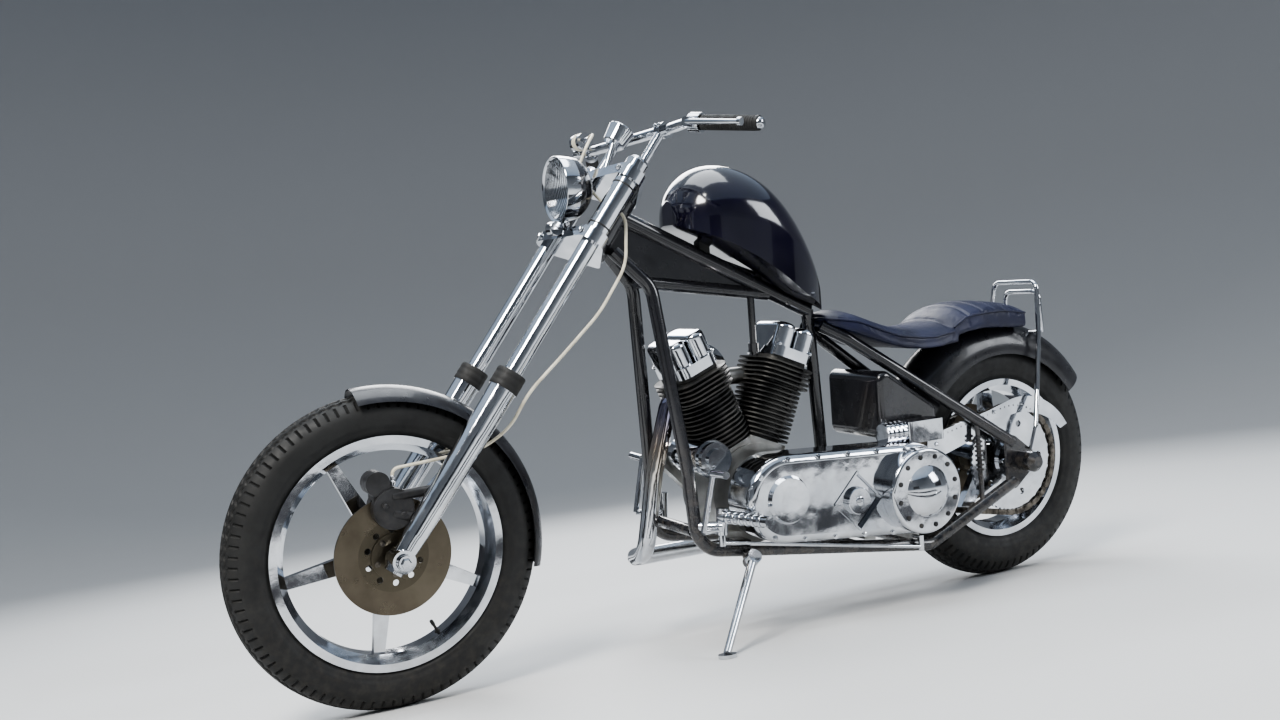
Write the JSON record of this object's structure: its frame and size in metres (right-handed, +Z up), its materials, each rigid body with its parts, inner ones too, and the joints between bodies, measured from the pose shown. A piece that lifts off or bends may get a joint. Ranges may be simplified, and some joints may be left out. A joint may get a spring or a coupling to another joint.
{
  "type": "chopper motorcycle",
  "caption": "Long raked chopper motorcycle leaning on its side stand, with a finned V engine, chain drive, spoked cast wheels, high-backed step seat and low bars.",
  "frame": {"origin": "on the floor under the middle of the bounding box, the motorcycle leaning on its stand", "axes": "+X from the front wheel to the rear wheel, +Y to the rider's right, +Z up"},
  "size_m": [2.39, 0.8844, 1.2983],
  "materials": {
    "barrel_black": "black heat-proof paint on finned iron",
    "case_aluminium": "cast and lightly polished aluminium",
    "chain_steel": "oiled chain steel",
    "chrome": "polished chrome",
    "disc_steel": "ground disc steel",
    "frame_black": "gloss black enamel",
    "hose_cream": "cream hose cover",
    "lens": "clear lamp glass",
    "lens_red": "red lamp plastic",
    "rubber": "black rubber",
    "seat_blue": "navy leather",
    "tank_blue": "deep blue-black gloss paint",
    "trim_black": "black fittings",
    "tyre": "matt black tyre rubber"
  },
  "bodies": {
    "frame": {"rear_fender": "frame_black", "rear_axle": "chrome", "rear_calliper": "trim_black", "frame_backbone": "frame_black", "frame_cradle_left": "frame_black", "frame_cradle_right": "frame_black", "frame_crossmembers": "frame_black", "fuel_tank": "tank_blue", "tank_mounts": "rubber", "fuel_cap": "chrome", "seat": "seat_blue", "sissy_bar": "chrome", "oil_tank": "frame_black", "crankcase": "case_aluminium", "cylinder_front": "barrel_black", "rocker_box_front": "chrome", "cylinder_rear": "barrel_black", "rocker_box_rear": "chrome", "engine_steady": "chrome", "pushrod_tubes": "chrome", "carburettor": "case_aluminium", "air_cleaner": "chrome", "generator": "chrome", "exhaust_front": "chrome", "exhaust_rear": "chrome", "primary_cover": "chrome", "clutch_cover": "chrome", "gearbox": "case_aluminium", "starter": "chrome", "drive_chain": "chain_steel", "chain_guard": "chrome", "foot_control_right": "chrome", "foot_control_left": "chrome", "tail_lamp": "lens_red", "stand_bracket": "frame_black"},
    "fork": {"lower_tree": "chrome", "upper_tree": "chrome", "fork_leg_left": "chrome", "fork_leg_right": "chrome", "headlamp": "chrome", "headlamp_lens": "lens", "handlebar": "chrome", "grip_left": "rubber", "grip_right": "rubber", "lever_left": "chrome", "lever_right": "chrome", "speedometer": "trim_black", "front_fender": "frame_black", "front_calliper": "trim_black", "front_axle": "chrome", "brake_hose": "hose_cream"},
    "front_wheel": {"front_tyre": "tyre", "front_rim": "chrome", "front_disc": "disc_steel"},
    "rear_wheel": {"rear_tyre": "tyre", "rear_rim": "chrome", "rear_sprocket": "chrome", "rear_disc": "disc_steel"},
    "side_stand": {"side_stand": "chrome"}
  },
  "joints": [
    {"name": "steering", "type": "hinge", "parent": "frame", "child": "fork", "pos_m": [-0.29743, 0.03309, 0.9578], "axis": [0.6088, -0.1104, 0.7856], "range_deg": [-28, 28]},
    {"name": "front_wheel_spin", "type": "hinge", "parent": "fork", "child": "front_wheel", "pos_m": [-0.85, 0.1196, 0.34228], "axis": [0, 0.9903, 0.1392], "continuous": true},
    {"name": "rear_wheel_spin", "type": "hinge", "parent": "frame", "child": "rear_wheel", "pos_m": [0.865, 0.12168, 0.32743], "axis": [0, 0.9903, 0.1392], "continuous": true},
    {"name": "side_stand_fold", "type": "hinge", "parent": "frame", "child": "side_stand", "pos_m": [-0.02, -0.02598, 0.19257], "axis": [-0.0012, -0.8734, 0.4871], "range_deg": [0, 118]}
  ]
}
